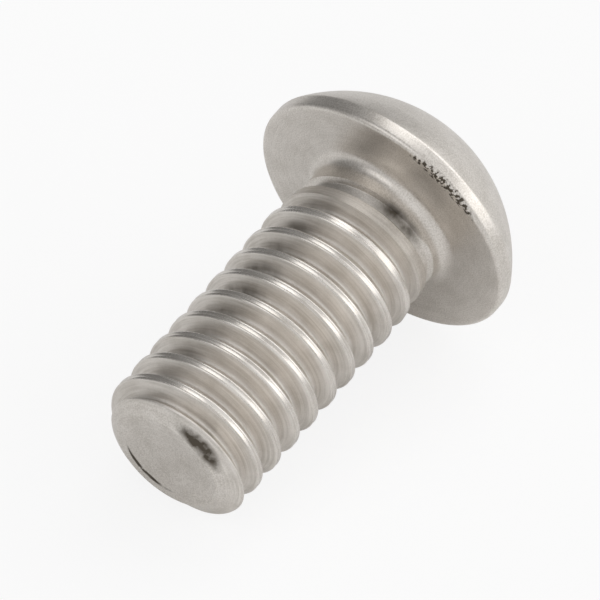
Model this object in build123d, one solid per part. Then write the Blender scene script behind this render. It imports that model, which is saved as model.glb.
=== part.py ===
# A button head screw, 5/16 in with 18 threads to the inch: a low domed head with a hex socket,
# a filleted neck, and a right-hand thread that runs down to a chamfered, slightly dished end.
# It is one forged and rolled piece of steel, lying on its side as it comes to rest: on the rim
# of its head and the last full crest of its thread. Millimetres, +Z up, the floor at Z = 0.
# Its axis lies over the X axis, with the head towards +X, and its middle is over the origin.
# It is first made upright: the bearing face at height 0, the thread above it, the head below.
from build123d import *
import math
import os

# ---- driving dimensions: thread -----------------------------------------------------------
PITCH = 1.411             # 18 threads to the inch
MAJOR_DIAMETER = 7.7
LENGTH = 16.4             # from the bearing face to the end
CREST_FLAT = 0.28
ROOT_FLAT = 0.25
FLANK_ANGLE = 30.0        # each flank against a plane square to the axis, degrees

# ---- driving dimensions: neck and end -----------------------------------------------------
NECK_STEP = 0.35          # from the neck out to the full crests
NECK_LENGTH = 0.80        # from the bearing face to the first groove
NECK_FILLET = 0.60
SHOULDER_ANGLE = 45.0     # of the step from the neck down to the first groove, degrees
RUN_OUT_TURNS = 2.0       # turns over which the crests rise from the neck to full height
END_FLAT_DIAMETER = 5.5
END_CHAMFER_ANGLE = 28.0  # against the end face, degrees
END_DISH_DIAMETER = 4.6
END_DISH_DEPTH = 0.12

# ---- driving dimensions: head and socket --------------------------------------------------
HEAD_DIAMETER = 13.4
HEAD_HEIGHT = 3.85
BAND_HEIGHT = 0.75        # plain side of the head, between the dome and the bearing face
BAND_CHAMFER = 0.25       # broken edge between the side and the bearing face
MOUTH_DIAMETER = 7.2      # where the dome ends
LIP_DIAMETER = 6.2        # foot of the steep countersink
LIP_DEPTH = 0.36
PETAL_ANGLE = 20.0        # of the flatter countersink that runs into the hexagon, degrees
HEX_ACROSS_FLATS = 4.80
HEX_DEPTH = 2.65          # below the lip
PUNCH_CONE_DEPTH = 0.25   # of the shallow cone that the punch leaves in the socket's floor

# ---- driving dimension: rest --------------------------------------------------------------
ROLL = 173.0              # how far the screw has rolled about its axis, degrees

# ---- sizes that follow --------------------------------------------------------------------
flank_slope = math.tan(math.radians(FLANK_ANGLE))
thread_depth = (PITCH - CREST_FLAT - ROOT_FLAT) / 2 / flank_slope
major_radius = MAJOR_DIAMETER / 2
root_radius = major_radius - thread_depth
neck_radius = major_radius - NECK_STEP     # of the blank that the thread was rolled on
head_radius = HEAD_DIAMETER / 2
mouth_radius = MOUTH_DIAMETER / 2
lip_radius = LIP_DIAMETER / 2
end_radius = END_FLAT_DIAMETER / 2
chamfer_height = (major_radius - end_radius) * math.tan(math.radians(END_CHAMFER_ANGLE))
ridge_start = -PITCH                       # height of the ridge's middle at its first point
core_start = ridge_start - PITCH
core_end = LENGTH + 2 * PITCH
waste_end = core_end + PITCH
lip_level = LIP_DEPTH - HEAD_HEIGHT
floor_level = lip_level + HEX_DEPTH


def turned(outline):
    """A solid turned about Z from a function that draws its outline of radius and height."""
    with BuildPart() as lathe:
        with BuildSketch(Plane.XZ):
            with BuildLine():
                outline()
            make_face()
        revolve(axis=Axis.Z)
    return lathe.part


def dome():
    """An arc centred on the axis, from the side of the head to the socket's mouth."""
    square_gap = mouth_radius**2 + HEAD_HEIGHT**2 - head_radius**2 - BAND_HEIGHT**2
    centre = square_gap / (2 * (HEAD_HEIGHT - BAND_HEIGHT))
    dome_radius = math.hypot(head_radius, BAND_HEIGHT - centre)
    middle = (head_radius + mouth_radius) / 2
    crown = centre + math.sqrt(dome_radius**2 - middle**2)
    ThreePointArc((head_radius, -BAND_HEIGHT), (middle, -crown), (mouth_radius, -HEAD_HEIGHT))


def head_and_neck():
    """Outline of the head and the filleted neck, closed by the shoulder's cone in the core."""
    drop = neck_radius / math.tan(math.radians(SHOULDER_ANGLE))
    dome()
    Polyline(
        (head_radius, -BAND_HEIGHT),
        (head_radius, -BAND_CHAMFER),
        (head_radius - BAND_CHAMFER, 0),
        (neck_radius + NECK_FILLET, 0),
    )
    RadiusArc((neck_radius + NECK_FILLET, 0), (neck_radius, NECK_FILLET), -NECK_FILLET)
    Polyline(
        (neck_radius, NECK_FILLET),
        (neck_radius, NECK_LENGTH),
        (0, NECK_LENGTH + drop),
        (0, -HEAD_HEIGHT),
        (mouth_radius, -HEAD_HEIGHT),
    )


def core():
    """Outline of the rod that the thread stands on, longer than the screw at both ends."""
    Polyline(
        (0, core_start),
        (root_radius, core_start),
        (root_radius, core_end),
        (0, core_end),
        close=True,
    )


def thread_ridge():
    """The ridge of the thread, swept along a right-hand helix past both ends of the core."""
    sunk = ROOT_FLAT / 4 / flank_slope     # into the core, with the feet of two turns still apart
    base = CREST_FLAT / 2 + (thread_depth + sunk) * flank_slope
    path = Helix(PITCH, LENGTH + PITCH - ridge_start, root_radius, center=(0, 0, ridge_start))
    start = Plane((root_radius, 0, ridge_start), x_dir=(1, 0, 0), z_dir=(0, -1, 0))
    with BuildSketch(start) as section:
        with BuildLine():
            Polyline(
                (-sunk, -base),
                (thread_depth, -CREST_FLAT / 2),
                (thread_depth, CREST_FLAT / 2),
                (-sunk, base),
                close=True,
            )
        make_face()
    return sweep(section.sketch, path=path, is_frenet=True)


def below_the_thread():
    """The block that takes off the core and the ridge below the middle of the neck."""
    tall = NECK_LENGTH / 2 - core_start + PITCH
    return Pos(0, 0, NECK_LENGTH / 2 - tall / 2) * Cylinder(MAJOR_DIAMETER, tall)


def run_out():
    """Outline of the ring that makes the first crests rise slowly from the neck."""
    clear = major_radius + thread_depth
    turns = RUN_OUT_TURNS * (clear - neck_radius) / NECK_STEP
    Polyline(
        (neck_radius, NECK_LENGTH / 4),
        (neck_radius, NECK_LENGTH),
        (clear, NECK_LENGTH + turns * PITCH),
        (clear, NECK_LENGTH / 4),
        close=True,
    )


def beyond_the_end():
    """Outline of what goes past the end face, with the chamfer around it."""
    clear = major_radius + thread_depth
    slope = chamfer_height / (major_radius - end_radius)
    Polyline(
        (0, LENGTH),
        (end_radius, LENGTH),
        (clear, LENGTH - (clear - end_radius) * slope),
        (clear, waste_end),
        (0, waste_end),
        close=True,
    )


def end_dish():
    """The ball that leaves the shallow dish in the end face."""
    dish_radius = END_DISH_DIAMETER / 2
    ball_radius = (dish_radius**2 + END_DISH_DEPTH**2) / (2 * END_DISH_DEPTH)
    return Pos(0, 0, LENGTH - END_DISH_DEPTH + ball_radius) * Sphere(ball_radius)


def countersink():
    """Outline of the socket's mouth: a steep cone to the lip, then a flatter one."""
    Polyline(
        (0, -HEAD_HEIGHT),
        (mouth_radius, -HEAD_HEIGHT),
        (lip_radius, lip_level),
        (0, lip_level + lip_radius * math.tan(math.radians(PETAL_ANGLE))),
        close=True,
    )


def punch_cone():
    """Outline of the cone in the socket's floor."""
    Polyline(
        (0, floor_level),
        (HEX_ACROSS_FLATS / 2, floor_level),
        (0, floor_level + PUNCH_CONE_DEPTH),
        close=True,
    )


def socket():
    """Everything that the punch takes out of the head."""
    hexagon = RegularPolygon(HEX_ACROSS_FLATS / 2, 6, major_radius=False)
    bore = Pos(0, 0, lip_level) * extrude(hexagon, HEX_DEPTH)
    return turned(countersink) + bore + turned(punch_cone)


def upright_screw():
    """The whole screw on its own axis."""
    quarter_turn = 90                      # keeps the ring's seam away from the ridge's first end
    threaded = turned(core) + thread_ridge() - below_the_thread()
    threaded = threaded - Rot(0, 0, quarter_turn) * turned(run_out) - turned(beyond_the_end)
    return turned(head_and_neck) + threaded - end_dish() - socket()


def lying(screw):
    """The screw on its side, tilted onto its rim and last full crest, and set on the floor."""
    full_turn = 360
    quarter_turn = full_turn / 4
    rolled_by = ROLL - full_turn / 2       # past the roll with the ridge's first end underneath
    first_edge = ridge_start + CREST_FLAT / 2 - PITCH * rolled_by / full_turn
    crests = math.floor((LENGTH - chamfer_height - first_edge) / PITCH)
    last_edge = first_edge + PITCH * crests
    tilt = math.atan2(head_radius - major_radius, last_edge + BAND_CHAMFER)
    on_side = Rot(0, -quarter_turn - math.degrees(tilt), 0) * Rot(0, 0, ROLL) * screw
    box = on_side.bounding_box()
    return Pos(-box.center().X, 0, -box.min.Z) * on_side


button_head_screw = lying(upright_screw())
os.makedirs("parts", exist_ok=True)
export_step(button_head_screw, "parts/button_head_screw.step")
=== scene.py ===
# %% [markdown]
# # A button head screw in satin stainless steel
#
# The real screw is one piece of steel. A press forges its low domed head and the hexagonal
# socket in it, and flat dies roll the thread into the shank. Here it is modelled upright, in
# millimetres and on its own axis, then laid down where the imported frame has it.

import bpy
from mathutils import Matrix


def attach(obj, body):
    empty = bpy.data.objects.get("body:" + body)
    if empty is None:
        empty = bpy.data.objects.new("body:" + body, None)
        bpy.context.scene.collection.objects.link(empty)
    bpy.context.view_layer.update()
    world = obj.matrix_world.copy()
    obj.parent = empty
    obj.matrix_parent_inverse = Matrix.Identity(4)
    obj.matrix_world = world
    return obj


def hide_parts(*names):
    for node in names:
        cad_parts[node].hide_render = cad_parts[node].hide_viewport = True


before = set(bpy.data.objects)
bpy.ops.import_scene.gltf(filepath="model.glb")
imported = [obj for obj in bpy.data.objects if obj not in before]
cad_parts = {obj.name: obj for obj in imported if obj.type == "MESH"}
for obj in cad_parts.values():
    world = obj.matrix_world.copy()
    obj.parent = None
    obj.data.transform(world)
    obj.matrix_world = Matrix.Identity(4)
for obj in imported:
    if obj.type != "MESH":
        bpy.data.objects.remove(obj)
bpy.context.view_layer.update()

# %% Tools for meshes, materials and rotations
import math

import bmesh
import bpy
from mathutils import Matrix, Vector

FULL_TURN = 2 * math.pi
RIGHT_ANGLE = math.pi / 2
MM = 0.001

# %% [markdown]
# ## The sizes
#
# The pitch and the socket's hexagon are the standard ones of a 5/16 in screw with 18 threads to
# the inch. The other sizes are estimates, in proportion to the pitch. Heights are measured along
# the screw's axis from the bearing face, which is the flat ring under the head: the thread is
# above it, the head below.

# %% Sizes of the thread, in millimetres
PITCH = 1.411
MAJOR_RADIUS = 3.85
LENGTH = 16.4
CREST_FLAT = 0.34
ROOT_FLAT = 0.19
FLANK_SLOPE = math.tan(math.radians(30))
THREAD_DEPTH = (PITCH - CREST_FLAT - ROOT_FLAT) / 2 / FLANK_SLOPE
ROOT_RADIUS = MAJOR_RADIUS - THREAD_DEPTH
print(f"thread depth {THREAD_DEPTH:.3f} mm, root radius {ROOT_RADIUS:.3f} mm")

# %% Sizes of the neck and the end
NECK_RADIUS = 3.5
NECK_LENGTH = 0.80
NECK_FILLET = 0.60
RUN_OUT_TURNS = 2.0
END_RADIUS = 2.75
END_CHAMFER = math.radians(28)
DISH_RADIUS = 2.3
DISH_DEPTH = 0.12
print(f"the end is {2 * END_RADIUS} mm across, for a thread of {2 * MAJOR_RADIUS} mm")

# %% Sizes of the head and the socket
HEAD_RADIUS = 6.7
HEAD_HEIGHT = 3.85
BAND_HEIGHT = 0.75
BAND_ROUND = 0.24
DOME_ROUND = 0.08
MOUTH_RADIUS = 3.6
MOUTH_ROUND = 0.05
LIP_RADIUS = 3.1
LIP_LEVEL = 0.36 - HEAD_HEIGHT
PETAL_SLOPE = math.tan(math.radians(20))
HEX_RADIUS = 2.4
CORNER_RADIUS = 2.73
HEX_DEPTH = 2.65
FLOOR_LEVEL = LIP_LEVEL + HEX_DEPTH
PUNCH_CONE = 0.25
print(f"the head is {2 * HEAD_RADIUS} mm across, the socket {2 * HEX_RADIUS} mm across its flats")

# %% [markdown]
# ## The thread
#
# A rolled thread is one profile carried up a helix. A bmesh spin does the same: it turns a wire
# about the axis and, with dvec, lifts it a little at each step. The wire here is one pitch of
# the thread, from root to root, so each turn begins where the turn before it ended and meets it
# edge to edge, and merging doubles sews the turns into one sheet.

# %% Draw one pitch of the thread as a wire
CREST_ROUND = 0.08
CREST_VALLEY = 0.03
VALLEY_ROUND = 0.07
ROOT_ROUND = 0.17
ROUND_STEPS = 4
FLANK_CUTS = 11


def wire(bm, points):
    """A chain of edges through points of radius and height."""
    verts = [bm.verts.new((radius, 0, height)) for radius, height in points]
    for start, end in zip(verts, verts[1:]):
        bm.edges.new((start, end))
    return verts


def round_off(bm, vert, size, steps):
    """Rounds a corner of a wire."""
    bmesh.ops.bevel(bm, geom=[vert], offset=size, offset_type="OFFSET", segments=steps,
                    profile=0.5, affect="VERTICES", material=-1)


thread = bmesh.new()
half_crest = CREST_FLAT / 2
half_foot = half_crest + THREAD_DEPTH * FLANK_SLOPE
corners = wire(thread, [
    (ROOT_RADIUS, -PITCH / 2),
    (ROOT_RADIUS, -half_foot),
    (MAJOR_RADIUS, -half_crest),
    (MAJOR_RADIUS - CREST_VALLEY, 0),
    (MAJOR_RADIUS, half_crest),
    (ROOT_RADIUS, half_foot),
    (ROOT_RADIUS, PITCH / 2),
])
roundings = (ROOT_ROUND, CREST_ROUND, VALLEY_ROUND, CREST_ROUND, ROOT_ROUND)
for corner, size in zip(corners[1:6], roundings):
    round_off(thread, corner, size, ROUND_STEPS)
flanks = [edge for edge in thread.edges if edge.calc_length() > PITCH / 4]
bmesh.ops.subdivide_edges(thread, edges=flanks, cuts=FLANK_CUTS)
print("edges in one pitch:", len(thread.edges))

# %% Carry it up the helix
STEPS_PER_TURN = 96
MERGE_DISTANCE = 0.001
START = -PITCH
TURNS = math.ceil((LENGTH - START) / PITCH) + 2


def everything(bm):
    return bm.verts[:] + bm.edges[:] + bm.faces[:]


def points_of(geometry):
    return [item for item in geometry if isinstance(item, bmesh.types.BMVert)]


bmesh.ops.translate(thread, vec=(0, 0, START - PITCH), verts=thread.verts)
bmesh.ops.spin(thread, geom=everything(thread), cent=(0, 0, 0), axis=(0, 0, 1),
               dvec=(0, 0, PITCH / STEPS_PER_TURN), angle=FULL_TURN, steps=STEPS_PER_TURN,
               use_merge=False)
first_turn = everything(thread)
for turn in range(1, TURNS):
    copied = bmesh.ops.duplicate(thread, geom=first_turn)["geom"]
    bmesh.ops.translate(thread, vec=(0, 0, turn * PITCH), verts=points_of(copied))
bmesh.ops.remove_doubles(thread, verts=thread.verts, dist=MERGE_DISTANCE)
print("faces in the sheet:", len(thread.faces))

# %% [markdown]
# ## Where the thread begins and ends
#
# The dies leave the first crests low, because the blank's neck is thinner there. Two limits on
# the radius give that: a ceiling that the crests can't pass, and a floor under the neck that the
# grooves can't pass. The sheet is first split along the line where it meets a limit, so that the
# edge there is clean, and then what lies beyond is moved onto the limit. The end was chamfered
# before rolling, so there the last crest is lowered and rounded over with no edge.

# %% Describe the two limits beside the neck
FADE_RADIUS = 3.36
FADE_SLOPE = 0.16


def ceiling(height):
    """The largest radius: the run-out, which climbs from the neck to the full crest."""
    run_out = (height - NECK_LENGTH) / (RUN_OUT_TURNS * PITCH)
    return NECK_RADIUS + max(run_out, 0) * (MAJOR_RADIUS - NECK_RADIUS)


def neck_floor(height):
    """The smallest radius: the neck, its shoulder of 45 degrees, and a shallow first groove."""
    shoulder = NECK_RADIUS - max(height - NECK_LENGTH, 0)
    first_groove = FADE_RADIUS - max(height - NECK_LENGTH, 0) * FADE_SLOPE
    return max(shoulder, first_groove)


def over_ceiling(point):
    return math.hypot(point.x, point.y) - ceiling(point.z)


def under_floor(point):
    return neck_floor(point.z) - math.hypot(point.x, point.y)


# %% Split the sheet along a limit and hold it there
ROUNDING_ERROR = 1e-9
CUT_TOLERANCE = 1e-5


def hold(bm, excess, limit):
    """Moves each point with an excess over a limit onto it, along a clean edge."""
    meeting = []
    for edge in list(bm.edges):
        before, after = (excess(vert.co) for vert in edge.verts)
        if before * after < -ROUNDING_ERROR:
            share = before / (before - after)
            meeting.append(bmesh.utils.edge_split(edge, edge.verts[0], share)[1])
    bmesh.ops.connect_verts(bm, verts=meeting)
    for vert in bm.verts:
        if excess(vert.co) > 0:
            stretch = limit(vert.co.z) / math.hypot(vert.co.x, vert.co.y)
            vert.co.x *= stretch
            vert.co.y *= stretch
    return len(meeting)


def cut_level(bm, height, **clear):
    """Cuts the mesh with a level plane."""
    bmesh.ops.bisect_plane(bm, geom=everything(bm), dist=CUT_TOLERANCE,
                           plane_co=(0, 0, height), plane_no=(0, 0, 1), **clear)


NECK_SEAM = 0.72
HEAD_SEAM = 0.66
cut_level(thread, NECK_SEAM, clear_inner=True)
cut_level(thread, LENGTH, clear_outer=True)
print("points on the floor's edge:", hold(thread, under_floor, neck_floor))
print("points on the ceiling's edge:", hold(thread, over_ceiling, ceiling))
bmesh.ops.remove_doubles(thread, verts=thread.verts, dist=2 * MERGE_DISTANCE)

# %% Press the thread down to the chamfer at the end
CHAMFER_DROP = math.tan(END_CHAMFER)
CUT_BLEND = 0.30


def press_end(bm):
    """Lowers the last crest to the chamfer, and rounds it over where the two meet."""
    lowered = 0
    for vert in bm.verts:
        reach = math.hypot(vert.co.x, vert.co.y)
        room = END_RADIUS + (LENGTH - vert.co.z) / CHAMFER_DROP - reach
        blend = max(CUT_BLEND - abs(room), 0)
        pressed = 1 + (min(room, 0) - blend**2 / (4 * CUT_BLEND)) / reach
        vert.co.x *= pressed
        vert.co.y *= pressed
        lowered += pressed < 1
    return lowered


print("points pressed down at the end:", press_end(thread))

# %% [markdown]
# ## The end face
#
# Shearing and rolling leave the end of such a screw with a flat rim around a shallow dish. The
# open edge of the chamfer is extruded inwards, ring by ring, and each ring is put at its own
# radius and depth: first the rim, then the dish, which is part of a large ball.

# %% Grow rings from an open edge
LEVEL_TOLERANCE = 0.01


def level_edges(bm, height):
    """The open edges at one height, made exactly level."""
    found = [edge for edge in bm.edges if edge.is_boundary
             and all(abs(vert.co.z - height) < LEVEL_TOLERANCE for vert in edge.verts)]
    for vert in {vert for edge in found for vert in edge.verts}:
        vert.co.z = height
    return found


def around(angle, radius, height):
    """The point at an angle about the axis, a radius and a height."""
    return Vector((radius * math.cos(angle), radius * math.sin(angle), height))


def grow_ring(bm, edges, place):
    """Extrudes a ring of open edges and puts each new point where place says."""
    grown = bmesh.ops.extrude_edge_only(bm, edges=edges)["geom"]
    for vert in points_of(grown):
        vert.co = place(math.atan2(vert.co.y, vert.co.x))
    return [item for item in grown if isinstance(item, bmesh.types.BMEdge) and item.is_boundary]


def close_ring(bm, edges, height):
    """Fills a small ring with triangles that meet on the axis."""
    lid = bmesh.ops.edgeloop_fill(bm, edges=edges)["faces"]
    centre = bmesh.ops.poke(bm, faces=lid)["verts"]
    centre[0].co = (0, 0, height)


# %% Close the end and press the dish
EDGE_ROUND = 0.06
DISH_RINGS = 6
ball_radius = (DISH_RADIUS**2 + DISH_DEPTH**2) / (2 * DISH_DEPTH)


def dish_level(radius):
    """Height of the dish at a radius."""
    return LENGTH - DISH_DEPTH + ball_radius - math.sqrt(ball_radius**2 - radius**2)


ring = level_edges(thread, LENGTH)
for radius in (END_RADIUS - EDGE_ROUND, DISH_RADIUS + EDGE_ROUND, DISH_RADIUS):
    ring = grow_ring(thread, ring, lambda angle: around(angle, radius, LENGTH))
for step in range(1, DISH_RINGS):
    radius = DISH_RADIUS * (1 - step / DISH_RINGS)
    ring = grow_ring(thread, ring, lambda angle: around(angle, radius, dish_level(radius)))
close_ring(thread, ring, LENGTH - DISH_DEPTH)
print("faces with the end closed:", len(thread.faces))

# %% [markdown]
# ## The head
#
# The head is round, so half of its section is drawn as a wire, from the neck out along the
# bearing face, round the side band and over the dome to the lip of the socket, and one full
# spin turns it. Its dome is an arc, spun from a single point.

# %% Draw half of the head's section
head = bmesh.new()
under = wire(head, [
    (NECK_RADIUS, HEAD_SEAM),
    (NECK_RADIUS, 0),
    (HEAD_RADIUS, 0),
    (HEAD_RADIUS, -BAND_HEIGHT),
])
square_gap = MOUTH_RADIUS**2 + HEAD_HEIGHT**2 - HEAD_RADIUS**2 - BAND_HEIGHT**2
dome_centre = square_gap / (2 * (HEAD_HEIGHT - BAND_HEIGHT))
from_rim = math.atan2(BAND_HEIGHT - dome_centre, HEAD_RADIUS)
from_mouth = math.atan2(HEAD_HEIGHT - dome_centre, MOUTH_RADIUS)
DOME_STEPS = 28
arc = bmesh.ops.spin(head, geom=[under[-1]], cent=(0, 0, -dome_centre), axis=(0, 1, 0),
                     angle=from_mouth - from_rim, steps=DOME_STEPS, use_merge=False)
mouth = points_of(arc["geom_last"])[0]
print("mouth of the socket:", [round(value, 3) for value in mouth.co])
lip = head.verts.new((LIP_RADIUS, 0, LIP_LEVEL))
head.edges.new((mouth, lip))
for corner, size, steps in ((under[1], NECK_FILLET, 10), (under[2], BAND_ROUND, 6),
                            (under[3], DOME_ROUND, 4), (mouth, MOUTH_ROUND, 3)):
    round_off(head, corner, size, steps)
BEARING_CUTS = 6
bearing = max(head.edges, key=lambda edge: edge.calc_length())
bmesh.ops.subdivide_edges(head, edges=[bearing], cuts=BEARING_CUTS)

# %% Turn it
HEAD_STEPS = 192
bmesh.ops.spin(head, geom=everything(head), cent=(0, 0, 0), axis=(0, 0, 1),
               angle=FULL_TURN, steps=HEAD_STEPS, use_merge=True)
bmesh.ops.remove_doubles(head, verts=head.verts, dist=MERGE_DISTANCE)
print("faces in the head:", len(head.faces))

# %% [markdown]
# ## The socket
#
# A punch makes the socket: a steep ring at the mouth, a flatter cone that runs into the six
# flats and leaves a curved petal on each, straight walls and a shallow cone in the floor. The
# lip's round edge is extruded inwards, and each new point is moved out to the hexagon along its
# own direction, which turns a circle into a hexagon with no loose corners.

# %% Extrude the lip into the hexagon
def hexagon_reach(angle):
    """Distance from the axis to the hexagon's wall, with slightly rounded corners."""
    sixth = FULL_TURN / 6
    from_flat = (angle + sixth / 2) % sixth - sixth / 2
    return min(HEX_RADIUS / math.cos(from_flat), CORNER_RADIUS)


def on_petal(angle):
    reach = hexagon_reach(angle)
    return around(angle, reach, LIP_LEVEL + (LIP_RADIUS - reach) * PETAL_SLOPE)


lip_edges = level_edges(head, LIP_LEVEL)
petal_edges = grow_ring(head, lip_edges, on_petal)
floor_edges = grow_ring(head, petal_edges,
                        lambda angle: around(angle, hexagon_reach(angle), FLOOR_LEVEL))
print("edges round the hexagon:", len(floor_edges))

# %% Close the floor with the punch's cone
CONE_RINGS = 6
CONE_START = 0.985
PETAL_ROUND = 0.05
cone_edges = floor_edges
for step in range(CONE_RINGS):
    share = CONE_START * (1 - step / CONE_RINGS)
    cone_edges = grow_ring(head, cone_edges, lambda angle: around(
        angle, HEX_RADIUS * share, FLOOR_LEVEL + PUNCH_CONE * (1 - share)))
close_ring(head, cone_edges, FLOOR_LEVEL + PUNCH_CONE)
bmesh.ops.bevel(head, geom=petal_edges, offset=PETAL_ROUND, offset_type="OFFSET", segments=3,
                profile=0.5, affect="EDGES", material=-1)
print("faces with the socket:", len(head.faces))

# %% [markdown]
# ## One piece, lying on the floor
#
# The two meshes meet on the smooth neck, where a bridge joins their open rings. The screw then
# rolls about its axis and tips over until it lies on the rim of its head and its last full
# crest, which is where the frame has it.

# %% Join the thread and the head
both = bpy.data.meshes.new("screw_upright")
head.to_mesh(both)
thread.from_mesh(both)
head.free()
bpy.data.meshes.remove(both)
seam = level_edges(thread, NECK_SEAM) + level_edges(thread, HEAD_SEAM)
bmesh.ops.bridge_loops(thread, edges=seam)
bmesh.ops.recalc_face_normals(thread, faces=thread.faces)
open_edges = sum(1 for edge in thread.edges if not edge.is_manifold)
print("open edges left:", open_edges, "volume in cubic mm:", round(thread.calc_volume(), 1))

# %% Lay it down
ROLL = math.radians(173)
TILT = math.radians(10.1381)
lean = Matrix.Rotation(-RIGHT_ANGLE - TILT, 4, "Y") @ Matrix.Rotation(ROLL, 4, "Z")
bmesh.ops.transform(thread, matrix=Matrix.Scale(MM, 4) @ lean, verts=thread.verts)
lowest = min(vert.co.z for vert in thread.verts)
left = min(vert.co.x for vert in thread.verts)
right = max(vert.co.x for vert in thread.verts)
set_down = Matrix.Translation((-(left + right) / 2, 0, -lowest))
bmesh.ops.transform(thread, matrix=set_down, verts=thread.verts)
print("bearing face's centre:", [round(value / MM, 3) for value in set_down.to_translation()])

# %% Make the object
SHARP_ANGLE = math.radians(60)
for face in thread.faces:
    face.smooth = True
mesh = bpy.data.meshes.new("button_head_screw")
thread.to_mesh(mesh)
thread.free()
mesh.set_sharp_from_angle(angle=SHARP_ANGLE)
screw = bpy.data.objects.new("screw_in_satin_steel", mesh)
bpy.context.scene.collection.objects.link(screw)
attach(screw, "root")
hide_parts("button_head_screw")
mesh.calc_loop_triangles()
print("triangles:", len(mesh.loop_triangles))

# %% [markdown]
# ## The finish
#
# Stainless steel is a warm grey metal, and it takes its look from what it mirrors, so its grain
# goes mostly into roughness and a fine bump. Pressing leaves the head and the end with a satin
# grain that has no direction. The dies slide a little as they roll the thread: they draw fine
# lines that run up its helix, and they burnish its crests.

# %% Helpers for colours and nodes
def linear(hex_colour):
    """Turns an sRGB hex value into linear colour."""
    parts = (int(hex_colour[i:i + 2], 16) / 255 for i in (1, 3, 5))
    return tuple(c / 12.92 if c <= 0.04045 else ((c + 0.055) / 1.055)**2.4 for c in parts) + (1,)


def add_node(tree, kind, settings=None, **inputs):
    """Adds a node and sets or links its inputs, by name or by an underscore and a number."""
    node = tree.nodes.new(kind)
    for name, value in (settings or {}).items():
        setattr(node, name, value)
    for name, value in inputs.items():
        socket = node.inputs[int(name[1:]) if name[0] == "_" else name.replace("_", " ")]
        if isinstance(value, bpy.types.NodeSocket):
            tree.links.new(value, socket)
        else:
            socket.default_value = value
    return node


# %% Find the screw's own directions in the material
steel = bpy.data.materials.new("stainless_steel_forged_and_rolled")
steel.use_nodes = True
tree = steel.node_tree
shader = tree.nodes["Principled BSDF"]
shader.inputs["Metallic"].default_value = 1.0
coordinates = add_node(tree, "ShaderNodeTexCoord")
upright = add_node(tree, "ShaderNodeMapping", {"vector_type": "TEXTURE"},
                   Vector=coordinates.outputs["Object"], Location=set_down.to_translation(),
                   Rotation=lean.to_euler(), Scale=(MM, MM, MM)).outputs["Vector"]
parts = add_node(tree, "ShaderNodeSeparateXYZ", Vector=upright).outputs
height = parts["Z"]
sideways = add_node(tree, "ShaderNodeVectorMath", {"operation": "MULTIPLY"},
                    _0=upright, _1=(1, 1, 0))
radius = add_node(tree, "ShaderNodeVectorMath", {"operation": "LENGTH"},
                  _0=sideways.outputs["Vector"]).outputs["Value"]
print("the material's mapping starts at", [round(v / MM, 2) for v in set_down.to_translation()])

# %% [markdown]
# The lines need a coordinate that stays the same along the helix. An angle does: the height in
# turns of the thread, less the angle about the axis. Its cosine and sine, on a circle one pitch
# round, keep real millimetres across the thread and have no seam. On the flat bearing face the
# same coordinates give rings. A small share of the plain position ends each line after a while.

# %% Coordinates that follow the helix
LINE_DRIFT = 0.05
circle = PITCH / FULL_TURN
rise = add_node(tree, "ShaderNodeMath", {"operation": "DIVIDE"}, _0=height, _1=circle)
heading = add_node(tree, "ShaderNodeMath", {"operation": "ARCTAN2"}, _0=parts["Y"], _1=parts["X"])
phase = add_node(tree, "ShaderNodeMath", {"operation": "SUBTRACT"},
                 _0=rise.outputs["Value"], _1=heading.outputs["Value"]).outputs["Value"]
cosine = add_node(tree, "ShaderNodeMath", {"operation": "COSINE"}, _0=phase)
sine = add_node(tree, "ShaderNodeMath", {"operation": "SINE"}, _0=phase)
wound = add_node(tree, "ShaderNodeCombineXYZ", X=radius, Y=cosine.outputs["Value"],
                 Z=sine.outputs["Value"])
drift = add_node(tree, "ShaderNodeVectorMath", {"operation": "SCALE"},
                 _0=upright, Scale=LINE_DRIFT)
along = add_node(tree, "ShaderNodeVectorMath", {"operation": "MULTIPLY_ADD"},
                 _0=wound.outputs["Vector"], _1=(1, circle, circle), _2=drift.outputs["Vector"])
print(f"the helix climbs {PITCH} mm a turn, on a circle of {circle:.3f} mm")

# %% Lines, grain and mottling
# The dies' lines are some hundredths of a millimetre wide and the grain finer still. At that
# scale neither would show, so the lines are drawn about a tenth wide, the grain a little finer.
# The scales are in features to a millimetre, the next four values are heights, and the last two
# are the share of lines in the texture.
LINE_SCALE = 8.0
GRAIN_SCALE = 14.0
MOTTLING_SCALE = 0.9
LINES_START = 1.0
LINES_FULL = 2.4
LINES_FADE = LENGTH - 0.5
LINES_STOP = LENGTH - 0.2
LINES_ON_HEAD = 0.25
LINES_ON_THREAD = 0.8
lines = add_node(tree, "ShaderNodeTexNoise", Vector=along.outputs["Vector"],
                 Scale=LINE_SCALE, Detail=3.0, Roughness=0.7).outputs["Fac"]
grain = add_node(tree, "ShaderNodeTexNoise", Vector=upright,
                 Scale=GRAIN_SCALE, Detail=2.0, Roughness=0.5).outputs["Fac"]
mottling = add_node(tree, "ShaderNodeTexNoise", Vector=upright,
                    Scale=MOTTLING_SCALE, Detail=3.0, Roughness=0.55).outputs["Fac"]
on_thread = add_node(tree, "ShaderNodeMapRange", Value=height,
                     From_Min=LINES_START, From_Max=LINES_FULL).outputs["Result"]
before_end = add_node(tree, "ShaderNodeMapRange", Value=height,
                      From_Min=LINES_FADE, From_Max=LINES_STOP,
                      To_Min=1.0, To_Max=0.0).outputs["Result"]
rolled = add_node(tree, "ShaderNodeMath", {"operation": "MULTIPLY"},
                  _0=on_thread, _1=before_end).outputs["Value"]
line_share = add_node(tree, "ShaderNodeMapRange", Value=rolled,
                      To_Min=LINES_ON_HEAD, To_Max=LINES_ON_THREAD)
texture = add_node(tree, "ShaderNodeMix", {"data_type": "FLOAT"},
                   _0=line_share.outputs["Result"], _2=grain, _3=lines).outputs[0]
print(f"lines about {1 / LINE_SCALE:.2f} mm wide, grain about {1 / GRAIN_SCALE:.2f} mm")

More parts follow.
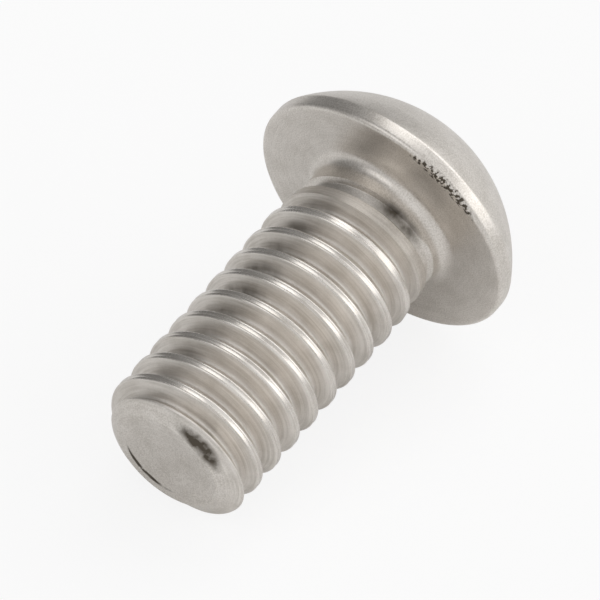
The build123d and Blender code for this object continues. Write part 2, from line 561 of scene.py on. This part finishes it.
# %% Roughness: a satin head, duller flanks, burnished crests
HEAD_ROUGHNESS = 0.36
FLANK_ROUGHNESS = 0.44
ROOT_ROUGHNESS = 0.50
CREST_ROUGHNESS = 0.27
ROUGHNESS_SWING = 0.05
FLANK_TOP = MAJOR_RADIUS - 0.15
CREST_EDGE = MAJOR_RADIUS - 0.13
CREST_TOP = MAJOR_RADIUS - 0.06
up_flank = add_node(tree, "ShaderNodeMapRange", Value=radius,
                    From_Min=ROOT_RADIUS, From_Max=FLANK_TOP,
                    To_Min=ROOT_ROUGHNESS, To_Max=FLANK_ROUGHNESS)
to_crest = add_node(tree, "ShaderNodeMapRange", Value=radius,
                    From_Min=CREST_EDGE, From_Max=CREST_TOP,
                    To_Min=up_flank.outputs["Result"], To_Max=CREST_ROUGHNESS)
by_place = add_node(tree, "ShaderNodeMapRange", Value=rolled,
                    To_Min=HEAD_ROUGHNESS, To_Max=to_crest.outputs["Result"])
swing = add_node(tree, "ShaderNodeMapRange", Value=texture,
                 From_Min=0.3, From_Max=0.7, To_Min=-ROUGHNESS_SWING, To_Max=ROUGHNESS_SWING)
clean_roughness = add_node(tree, "ShaderNodeMath", {"operation": "ADD"},
                           _0=by_place.outputs["Result"],
                           _1=swing.outputs["Result"]).outputs["Value"]
print("roughness from", CREST_ROUGHNESS, "on the crests to", ROOT_ROUGHNESS, "in the roots")

# %% Colour: a little lighter and darker along the lines
DULL = "#CAC4BC"
BRIGHT = "#E7E2DC"
MOTTLING_SHARE = 0.35
MIDDLE_TONE = 0.5 + MOTTLING_SHARE / 2
TONE_SPREAD = 0.14
both_tones = add_node(tree, "ShaderNodeMath", {"operation": "MULTIPLY_ADD"},
                      _0=mottling, _1=MOTTLING_SHARE, _2=texture)
tone = add_node(tree, "ShaderNodeMapRange", Value=both_tones.outputs["Value"],
                From_Min=MIDDLE_TONE - TONE_SPREAD, From_Max=MIDDLE_TONE + TONE_SPREAD)
clean_colour = add_node(tree, "ShaderNodeMix", {"data_type": "RGBA"},
                        _0=tone.outputs["Result"], _6=linear(DULL), _7=linear(BRIGHT)).outputs[2]
print("the steel's colour goes from", DULL, "to", BRIGHT)

# %% [markdown]
# Use has left scuffs on the lower edge of the head. The other marks are painted light: a painted
# dark reflection in the first groove beside the neck and on the chamfer of the end, a painted
# shadow along the edge of its dish, and painted shade down the roots on one side. Each is a
# stretched ball, bent round the axis, and noise eats into its edge.

# %% Scuffs, and painted dark reflections, shadow and shade
# One dark colour serves the scuffs and the painted dark reflections, shadow and shade.
SCUFF_AND_PAINTED_SHADE = "#5F584F"
SCUFF_AND_PAINTED_SHADE_ROUGHNESS = 0.6
# Each mark gives its angle, its distance from the axis, its level and its sizes, then the scale
# of its noise, the share the noise has in it, and how soft its edge is.
MARKS = {
    # Painted dark reflection: the groove beside the neck is drawn darker, as if it mirrored
    # something dark.
    "painted dark reflection in the first groove": (146, 3.25, 1.20, (1.0, 1.9, 0.55), 1.0, 0.3, 0.9),
    "scuffs under the rim": (147, 6.44, -0.07, (0.32, 2.3, 0.35), 5.0, 5.0, 0.8),
    # Painted dark reflection: a darker band on the end's chamfer.
    "painted dark reflection on the end's chamfer": (143, 3.08, LENGTH - 0.18, (0.46, 1.7, 0.9), 2.0, 0.3, 0.6),
    # Painted shadow: a dark line along the edge of the dish, where a small step would cast one.
    "painted shadow along the edge of the dish": (327, 2.25, LENGTH, (0.13, 1.8, 0.4), 2.0, 0.8, 0.5),
    # Painted shade: the roots on one side are drawn darker.
    "painted shade down the roots": (212, 3.05, 7.0, (0.5, 1.7, 10.0), 1.0, 0.4, 1.3),
}
scuffed_and_shaded = 0.0
for mark, (angle, from_axis, level, sizes, coarseness, raggedness, softness) in MARKS.items():
    facing = add_node(tree, "ShaderNodeMapping", {"vector_type": "TEXTURE"}, Vector=upright,
                      Location=(0, 0, level), Rotation=(0, 0, math.radians(angle)))
    apart = add_node(tree, "ShaderNodeSeparateXYZ", Vector=facing.outputs["Vector"]).outputs
    arc = add_node(tree, "ShaderNodeMath", {"operation": "ARCTAN2"}, _0=apart["Y"], _1=apart["X"])
    unrolled = add_node(tree, "ShaderNodeCombineXYZ", X=radius, Y=arc.outputs["Value"],
                        Z=apart["Z"])
    ball = add_node(tree, "ShaderNodeMapping", {"vector_type": "TEXTURE"},
                    Vector=unrolled.outputs["Vector"], Location=(from_axis, 0, 0),
                    Scale=(sizes[0], sizes[1] / from_axis, sizes[2]))
    within = add_node(tree, "ShaderNodeTexGradient", {"gradient_type": "SPHERICAL"},
                      Vector=ball.outputs["Vector"])
    noise = add_node(tree, "ShaderNodeTexNoise", Vector=upright, Scale=coarseness, Detail=3.0)
    ragged = add_node(tree, "ShaderNodeMapRange", Value=noise.outputs["Fac"],
                      From_Min=0.4, From_Max=0.6, To_Min=1 - raggedness, To_Max=1 + raggedness)
    shown = add_node(tree, "ShaderNodeMath", {"operation": "MULTIPLY"},
                     _0=within.outputs["Fac"], _1=ragged.outputs["Result"])
    faded = add_node(tree, "ShaderNodeMapRange", Value=shown.outputs["Value"],
                     From_Min=0.0, From_Max=softness)
    scuffed_and_shaded = add_node(tree, "ShaderNodeMath", {"operation": "MAXIMUM"},
                      _0=scuffed_and_shaded, _1=faded.outputs["Result"]).outputs["Value"]
    place = around(math.radians(angle), from_axis, level)
    print(mark, "at", [round(value, 2) for value in place])

# %% Put the finish together
# The bumps are in metres.
FINE_BUMP = 0.8e-6
LINE_BUMP = 5e-6
# The marks darken the colour: the scuffs, and the painted dark reflections, shadow and shade.
colour = add_node(tree, "ShaderNodeMix", {"data_type": "RGBA"},
                  _0=scuffed_and_shaded, _6=clean_colour, _7=linear(SCUFF_AND_PAINTED_SHADE)).outputs[2]
roughness = add_node(tree, "ShaderNodeMapRange", Value=scuffed_and_shaded,
                     To_Min=clean_roughness, To_Max=SCUFF_AND_PAINTED_SHADE_ROUGHNESS).outputs["Result"]
bump_height = add_node(tree, "ShaderNodeMapRange", Value=rolled,
                       To_Min=FINE_BUMP, To_Max=LINE_BUMP)
bump = add_node(tree, "ShaderNodeBump", Strength=1.0, Distance=bump_height.outputs["Result"],
                Height=texture)
tree.links.new(colour, shader.inputs["Base Color"])
tree.links.new(roughness, shader.inputs["Roughness"])
tree.links.new(bump.outputs["Normal"], shader.inputs["Normal"])
mesh.materials.append(steel)
print("material:", steel.name, "with", len(tree.nodes), "nodes")

# %% [markdown]
# ## The floor, the light and the camera
#
# Metal shows what stands around it, so small lamps would leave it dull with a few hard spots.
# Soft boxes light it instead: each is a bright rectangle that the crests, the side band and the
# dome mirror as a streak. Between them the world is a grey that darkens to one side, which gives
# the grooves their contrast. Through Light Path the floor looks near white to the camera and
# almost like plain lit paper in the metal, and it keeps the screw's shadow.

# %% Floor
FLOOR_REACH = 0.6
floor_mesh = bpy.data.meshes.new("floor")
floor_bm = bmesh.new()
bmesh.ops.create_grid(floor_bm, x_segments=1, y_segments=1, size=FLOOR_REACH)
floor_bm.to_mesh(floor_mesh)
floor_bm.free()
floor = bpy.data.objects.new("floor", floor_mesh)
bpy.context.scene.collection.objects.link(floor)
paper = bpy.data.materials.new("white_paper")
paper.use_nodes = True
tree = paper.node_tree
matt = tree.nodes["Principled BSDF"]
matt.inputs["Base Color"].default_value = linear("#F8F8F8")
matt.inputs["Roughness"].default_value = 0.9
SEEN_WHITE = 0.85
MIRRORED_WHITE = 0.1
ray = add_node(tree, "ShaderNodeLightPath")
mirrored = add_node(tree, "ShaderNodeMath", {"operation": "MAXIMUM"},
                    _0=ray.outputs["Is Glossy Ray"], _1=ray.outputs["Is Transmission Ray"])
in_metal = add_node(tree, "ShaderNodeMath", {"operation": "MULTIPLY"},
                    _0=mirrored.outputs["Value"], _1=MIRRORED_WHITE)
in_view = add_node(tree, "ShaderNodeMath", {"operation": "MULTIPLY"},
                   _0=ray.outputs["Is Camera Ray"], _1=SEEN_WHITE)
share = add_node(tree, "ShaderNodeMath", {"operation": "MAXIMUM"},
                 _0=in_metal.outputs["Value"], _1=in_view.outputs["Value"])
white = add_node(tree, "ShaderNodeEmission", Color=linear("#FFFFFF"), Strength=1.0)
mixed = add_node(tree, "ShaderNodeMixShader",
                 _0=share.outputs["Value"], _1=matt.outputs["BSDF"], _2=white.outputs["Emission"])
tree.links.new(mixed.outputs["Shader"], tree.nodes["Material Output"].inputs["Surface"])
floor_mesh.materials.append(paper)
print("the floor reaches", FLOOR_REACH, "m each way")

# %% World
world = bpy.data.worlds.new("studio")
bpy.context.scene.world = world
world.use_nodes = True
tree = world.node_tree


def direction(azimuth, elevation):
    """A unit vector from two angles in degrees."""
    across = math.radians(azimuth)
    up = math.radians(elevation)
    level = math.cos(up)
    return Vector((math.cos(across) * level, math.sin(across) * level, math.sin(up)))


DARK_SIDE = direction(85, 20)
DARK_GREY = 0.20
LIGHT_GREY = 0.80
seen = add_node(tree, "ShaderNodeTexCoord")
from_dark_side = add_node(tree, "ShaderNodeVectorMath", {"operation": "DOT_PRODUCT"},
                          _0=seen.outputs["Generated"], _1=DARK_SIDE)
grey = add_node(tree, "ShaderNodeMapRange", Value=from_dark_side.outputs["Value"],
                From_Min=-0.3, From_Max=1.0, To_Min=LIGHT_GREY, To_Max=DARK_GREY)
backdrop = tree.nodes["Background"]
backdrop.inputs["Color"].default_value = linear("#FFFFFF")
tree.links.new(grey.outputs["Result"], backdrop.inputs["Strength"])
print("the world's grey goes from", LIGHT_GREY, "to", DARK_GREY)

# %% Lamps
LAMP_DISTANCE = 0.4
middle = Vector((0, 0, 0.006))


def soft_box(name, azimuth, elevation, width, height, radiance):
    """A rectangular lamp in a direction from the middle, as bright as a white of that level."""
    toward = direction(azimuth, elevation)
    lamp = bpy.data.lights.new(name, "AREA")
    lamp.shape = "RECTANGLE"
    lamp.size = width
    lamp.size_y = height
    lamp.energy = radiance * math.pi * width * height
    holder = bpy.data.objects.new(name, lamp)
    holder.location = middle + toward * LAMP_DISTANCE
    holder.rotation_euler = toward.to_track_quat("Z", "Y").to_euler()
    bpy.context.scene.collection.objects.link(holder)
    print(name, "stands at", [round(value, 2) for value in holder.location])


soft_box("side_box", -56, 12, 0.28, 0.27, 1.0)
soft_box("front_box", -20, 32, 0.26, 0.19, 1.1)
soft_box("top_box", 8, 60, 0.20, 0.28, 1.3)
soft_box("far_box", 167, 46, 0.26, 0.26, 0.78)

# %% Camera
AZIMUTH = math.radians(53.3)
ELEVATION = math.radians(42.9)
DISTANCE = 0.75
LENS = 1000
NEAREST = 0.01
away = Vector((-math.sin(AZIMUTH) * math.cos(ELEVATION), -math.cos(AZIMUTH) * math.cos(ELEVATION),
               math.sin(ELEVATION)))
camera_data = bpy.data.cameras.new("camera")
camera_data.lens = LENS
camera_data.clip_start = NEAREST
camera = bpy.data.objects.new("camera", camera_data)
camera.location = middle + away * DISTANCE
camera.rotation_euler = (-away).to_track_quat("-Z", "Y").to_euler()
bpy.context.scene.collection.objects.link(camera)
bpy.context.scene.camera = camera
bpy.context.scene.view_settings.view_transform = "Standard"
print("the camera stands at", [round(value, 3) for value in camera.location])
